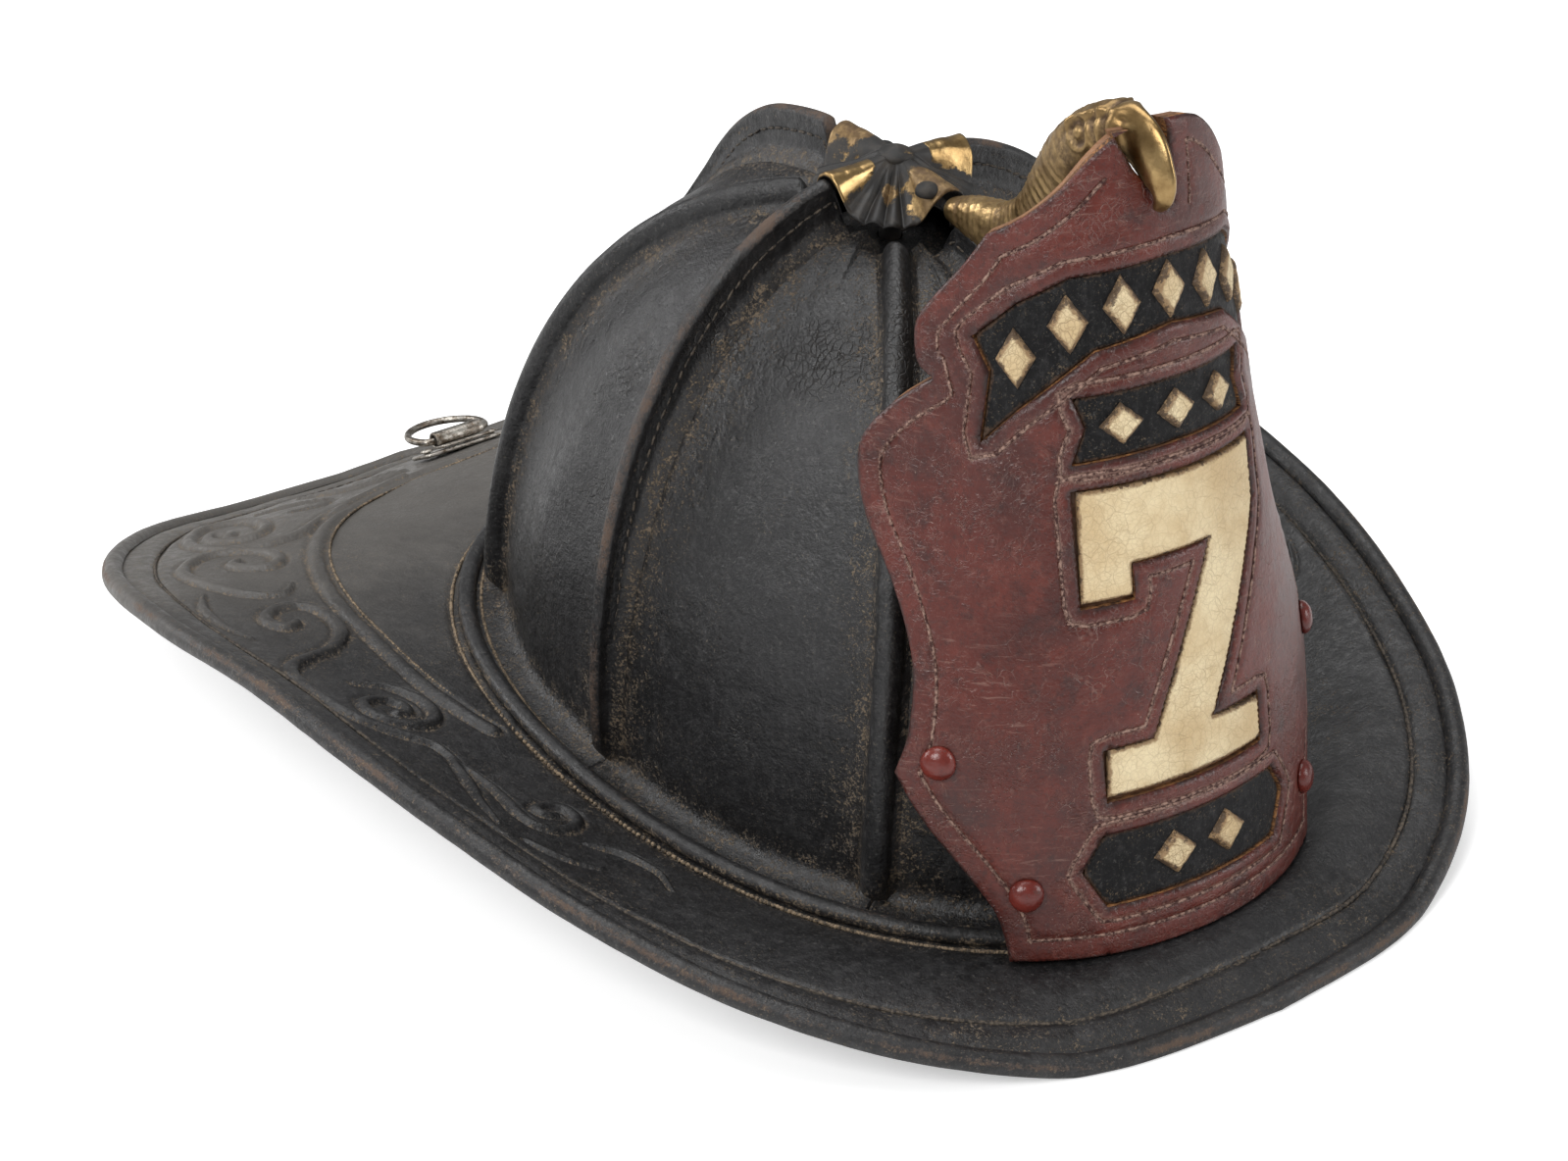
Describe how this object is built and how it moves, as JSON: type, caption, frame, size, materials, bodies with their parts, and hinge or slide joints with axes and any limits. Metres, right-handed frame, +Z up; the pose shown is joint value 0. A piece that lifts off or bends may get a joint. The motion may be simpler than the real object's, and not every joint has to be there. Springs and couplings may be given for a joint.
{
  "type": "leather fire helmet",
  "caption": "Traditional leather fire helmet with combed crown, long tooled rear brim, riveted front shield, brass eagle holder and a hinged hanging ring.",
  "frame": {"origin": "on the floor, under the middle of the bounding box", "axes": "+Z up, -Y towards the front shield, +X towards the wearer's left as seen from behind the shield"},
  "size_m": [0.32, 0.4085, 0.2198],
  "materials": {
    "black_leather": "worn satin, tooled",
    "red_leather": "crackled satin",
    "cream_leather": "crackled matte",
    "tan_leather": "raw matte",
    "red_paint": "worn satin",
    "aged_brass": "tarnished, with worn black paint",
    "dull_nickel": "dull nickel",
    "grey_felt": "matte felt",
    "cotton_lace": "matte cotton"
  },
  "bodies": {
    "helmet": {"brim": "black_leather", "brim_edge_roll": "black_leather", "brim_wire": "dull_nickel", "crown_panel_1": "black_leather", "crown_panel_2": "black_leather", "crown_panel_3": "black_leather", "crown_panel_4": "black_leather", "crown_panel_5": "black_leather", "crown_panel_6": "black_leather", "crown_panel_7": "black_leather", "crown_panel_8": "black_leather", "comb_front": "black_leather", "comb_front_left": "black_leather", "comb_left": "black_leather", "comb_rear_left": "black_leather", "comb_rear": "black_leather", "comb_rear_right": "black_leather", "comb_right": "black_leather", "comb_front_right": "black_leather", "crown_welt": "black_leather", "shield_leaf": "red_leather", "shield_backing": "tan_leather", "shield_panel_top": "black_leather", "shield_panel_middle": "black_leather", "shield_panel_lower": "black_leather", "shield_numeral": "cream_leather", "shield_lozenge_top_1": "cream_leather", "shield_lozenge_top_2": "cream_leather", "shield_lozenge_top_3": "cream_leather", "shield_lozenge_top_4": "cream_leather", "shield_lozenge_top_5": "cream_leather", "shield_lozenge_top_6": "cream_leather", "shield_lozenge_top_7": "cream_leather", "shield_lozenge_middle_1": "cream_leather", "shield_lozenge_middle_2": "cream_leather", "shield_lozenge_middle_3": "cream_leather", "shield_lozenge_lower_1": "cream_leather", "shield_lozenge_lower_2": "cream_leather", "shield_rivet_1": "red_paint", "shield_rivet_2": "red_paint", "shield_rivet_3": "red_paint", "shield_rivet_4": "red_paint", "crest_leaf": "aged_brass", "eagle_holder": "aged_brass", "crown_eye_cap": "black_leather", "holder_nut": "dull_nickel", "holder_stud": "dull_nickel", "hanger_plate": "dull_nickel", "hanger_clip": "dull_nickel", "hanger_rivet_left": "dull_nickel", "hanger_rivet_right": "dull_nickel", "sweatband": "tan_leather", "felt_pad": "grey_felt", "crown_liner": "grey_felt", "liner_lace": "cotton_lace"},
    "ring": {"hanger_ring": "dull_nickel"}
  },
  "joints": [
    {"name": "ring_hinge", "type": "hinge", "parent": "helmet", "child": "ring", "pos_m": [0, 0.16858, 0.02357], "axis": [1, 0, 0], "range_deg": [0, 150]}
  ]
}
